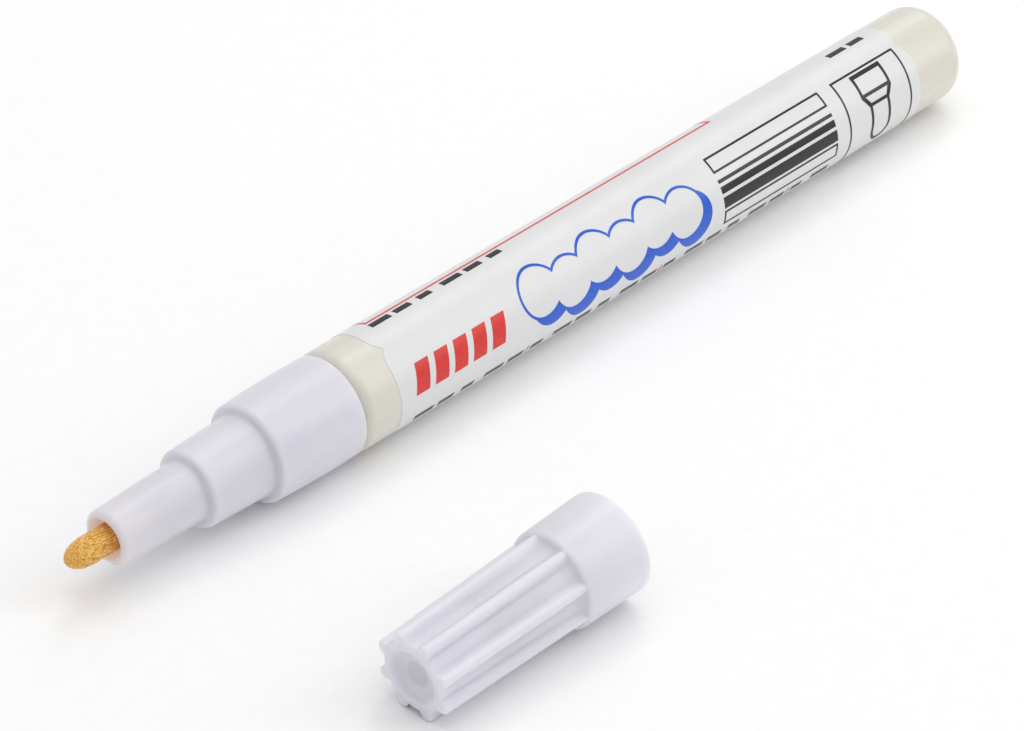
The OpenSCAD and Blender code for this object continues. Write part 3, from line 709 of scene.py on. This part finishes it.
cap_len, sleeve_end, edge_r, cove, knob_edge = 28.2, 8.1, 0.5, 1.5, 0.3
rim_r, sleeve_r, rim_edge = 5.8, 5.66, 0.3
floor_root, floor_end, rib_root, rib_end, rib_r, rib_count = 4.55, 4.0, 5.45, 5.03, 0.78, 8
rib_gap = 360 / rib_count
rest = (rib_end - rib_r) * math.cos(math.radians(rib_gap / 2)) + rib_r
tilt = math.atan2(sleeve_r - rest, cap_len - knob_edge - sleeve_end)
rim_z = sleeve_end * math.sin(tilt) + (sleeve_r - edge_r) * math.cos(tilt) + edge_r
yaw, rim_ahead, rim_beside = math.radians(-0.9), 3.15, 37.35
inward = Vector((-math.cos(tilt) * math.cos(yaw), -math.cos(tilt) * math.sin(yaw), -math.sin(tilt)))
side = Vector((-math.sin(yaw), math.cos(yaw), 0))
up = side.cross(inward)
rim_at = Vector((mouth_x + rim_ahead / 1000, axis_y - rim_beside / 1000, rim_z / 1000))


def on_cap(s, r, phi):
    """Point in the row frame: s mm from the cap's rim towards its closed end, r mm from its axis, phi degrees
    from the top towards the front."""
    t = math.radians(phi)
    return rim_at + inward * (s / 1000) + up * (r / 1000 * math.cos(t)) - side * (r / 1000 * math.sin(t))


def joined(a, b, soft):
    """The larger of two radii, with a fillet where they cross."""
    return max(a, b) + max(soft - abs(a - b), 0) ** 2 / (4 * soft)


# A rib starts narrow at the sleeve and swells within a few millimetres. It is round over most of its width,
# and its flanks fall away more steeply towards the closed end.
rib_pinch, pinch_len, round_share, flank, flank_more = 0.36, 2.4, 0.9, 1.2, 1.6
fillet, fillet_least = 0.4, 0.05


def rib_radius(x, share, phi):
    """Radius of the nearest rib's round crest or of its sloping flank, x mm past the sleeve."""
    crest = rib_root + (rib_end - rib_root) * share
    across = abs(math.radians(phi % rib_gap - rib_gap / 2)) * crest
    width = rib_r * (1 - rib_pinch * math.exp(-x / pinch_len))
    round_w = width * round_share
    if across < round_w:
        return crest - width + math.sqrt(width ** 2 - across ** 2)
    foot = crest - width + width * math.sqrt(1 - round_share ** 2)
    return foot - (flank + flank_more * share) * (across - round_w)


def cap_radius(s, phi):
    """Outer radius of the cap in mm."""
    if s <= rim_edge:
        return rim_r - rim_edge + math.sqrt(max(rim_edge ** 2 - (rim_edge - s) ** 2, 0))
    if s <= sleeve_end:
        return rim_r + (sleeve_r - rim_r) * (s - rim_edge) / (sleeve_end - rim_edge)
    x = s - sleeve_end
    share = x / (cap_len - sleeve_end)
    body = floor_root + (floor_end - floor_root) * share
    if x < edge_r:
        body = sleeve_r - edge_r + math.sqrt(edge_r ** 2 - x * x)
    elif x < edge_r + cove:
        climb = 1 - (x - edge_r) / cove
        body += (sleeve_r - edge_r - body) * (1 - math.sqrt(1 - climb * climb))
    soft = fillet_least + (fillet - fillet_least) * min(x / edge_r, 1)
    radius = joined(body, rib_radius(x, share, phi), soft)
    last = (s - cap_len + knob_edge) / knob_edge
    if last > 0:
        radius -= knob_edge * (1 - math.sqrt(max(1 - last * last, 0)))
    return radius


# Rings lie closer together where the form turns.
sides = rib_count * 36
stations = [rim_edge * (1 - math.cos(math.radians(90 * i / 5))) for i in range(6)]
stations += [rim_edge + (sleeve_end - rim_edge) * i / 9 for i in range(1, 10)]
stations += [sleeve_end + edge_r * math.sin(math.radians(90 * i / 9)) for i in range(1, 10)]
stations += [sleeve_end + edge_r + cove * (i / 16) ** 2 for i in range(1, 17)]
straight = cap_len - knob_edge - edge_r - cove - sleeve_end
stations += [sleeve_end + edge_r + cove + straight * i / 26 for i in range(1, 27)]
stations += [cap_len - knob_edge + knob_edge * math.sin(math.radians(90 * i / 9)) for i in range(1, 10)]
bm = bmesh.new()


def cap_ring(s, radius):
    """Ring of vertices round the cap's axis; radius is a number or a function of the angle."""
    return [bm.verts.new(on_cap(s, radius(360 * k / sides) if callable(radius) else radius, 360 * k / sides))
            for k in range(sides)]


def skinned(rings):
    """Faces between rings, closed by a point on the axis."""
    for first, second in zip(rings, rings[1:]):
        for k in range(sides):
            n = (k + 1) % sides
            bm.faces.new((first[k], first[n], second[n], second[k]))
    middle = sum((v.co for v in rings[-1]), Vector()) / sides
    pole = bm.verts.new(middle)
    for k in range(sides):
        bm.faces.new((rings[-1][k], rings[-1][(k + 1) % sides], pole))


# The well falls away from its edge in a curve of depths and radii, flattens, and then drops into the dimple.
well_r = 3.15
dish = [(0.03, 3.07), (0.10, 2.99), (0.22, 2.88), (0.36, 2.72), (0.48, 2.50), (0.57, 2.26), (0.63, 2.0),
        (0.67, 1.8), (0.71, 1.64), (0.77, 1.52), (0.86, 1.42), (0.98, 1.28), (1.09, 1.08), (1.17, 0.84),
        (1.21, 0.56), (1.23, 0.25)]
rings = [cap_ring(s, lambda phi, s=s: cap_radius(s, phi)) for s in stations]
for share in (0.4, 0.8, 1.0):
    rings.append(cap_ring(cap_len, lambda phi: (1 - share) * cap_radius(cap_len, phi) + share * well_r))
skinned(rings + [cap_ring(cap_len - depth, r) for depth, r in dish])

# Inside, the bores step down for the neck, the nose tube and the nib.
neck_bore, nose_bore, nib_bore = 4.86, 3.58, 1.95
neck_depth, nose_start, nose_depth, nib_depth, cap_depth = 7.95, 9.0, 20.3, 25.3, 25.7
skinned([rings[0]] + [cap_ring(s, r) for s, r in (
    (0, neck_bore + 0.35), (0.1, neck_bore + 0.17), (0.35, neck_bore), (neck_depth, neck_bore),
    (nose_start, nose_bore), (nose_depth, nose_bore), (nose_depth, nib_bore), (nib_depth, nib_bore),
    (cap_depth, nib_bore - 0.4))])
cap = finished("cap_moulding", bm, 50)
placed(cap, "pen", "moulded_pp", "cap")
cap.data.materials.append(moulding)

# Table, light and camera. A plain white paper sweep under a bright even sky, with one soft box overhead and
# two to the sides, which draw the long soft streaks along the pen, as in a catalogue shot.

bm = bmesh.new()
bmesh.ops.create_grid(bm, x_segments=1, y_segments=1, size=3)
floor = finished("floor", bm, 30)

# Smooth matt paper: an even white with no gloss.
paper, tree, mm, shader = material("paper_sweep_white")
cloud_mm = 2
cloud = node(tree, "ShaderNodeTexNoise", {"Scale": 1 / cloud_mm, "Detail": 2.0}, Vector=(mm, 0))
tone = ramp(tree, (cloud, "Fac"), [(0.3, "#fafafa"), (0.7, "#fcfcfc")])
tree.links.new(tone.outputs["Color"], shader.inputs["Base Color"])
shader.inputs["Roughness"].default_value = 0.9
floor.data.materials.append(paper)

world = bpy.data.worlds.new("studio")
bpy.context.scene.world = world
world.use_nodes = True
world.node_tree.nodes["Background"].inputs["Color"].default_value = (1, 1, 1, 1)
world.node_tree.nodes["Background"].inputs["Strength"].default_value = 0.62
bpy.context.scene.view_settings.view_transform = "Standard"


def softbox(name, place, target, size, power):
    """Oblong area light aimed at a point."""
    data = bpy.data.lights.new(name, "AREA")
    data.shape = "RECTANGLE"
    data.size, data.size_y = size
    data.energy = power
    made = bpy.data.objects.new(name, data)
    made.location = place
    made.rotation_mode = "QUATERNION"
    made.rotation_quaternion = (Vector(target) - Vector(place)).to_track_quat("-Z", "Y")
    bpy.context.scene.collection.objects.link(made)


# Places, targets and sizes are in metres, and the power is in watts.
softbox("overhead_box", (0.05, 0.0, 1.0), (0.05, 0, 0), (1.0, 1.0), 3.2)
softbox("front_box", (0.593, -0.578, 0.561), (0, 0, 0), (0.45, 0.8), 2.0)
softbox("rear_box", (0.593, 0.329, 0.736), (0, 0, 0), (0.28, 0.8), 1.1)

# A long lens about half a metre away, looking down across the pen from its nib's side.
camera_data = bpy.data.cameras.new("camera")
camera_data.sensor_width = 36
camera_data.lens = 161.2
camera_data.clip_start, camera_data.clip_end = 0.01, 20
camera = bpy.data.objects.new("camera", camera_data)
bpy.context.scene.collection.objects.link(camera)
bpy.context.scene.camera = camera
camera.location = (mouth_x - 0.271024, axis_y - 0.283045, axis_z + 0.282588)
right = Vector((0.687133, -0.726532, 0.0))
above = Vector((0.420015, 0.397238, 0.815959))
back = right.cross(above)
camera.matrix_world = Matrix((
    (right.x, above.x, back.x, camera.location.x),
    (right.y, above.y, back.y, camera.location.y),
    (right.z, above.z, back.z, camera.location.z),
    (0, 0, 0, 1)))
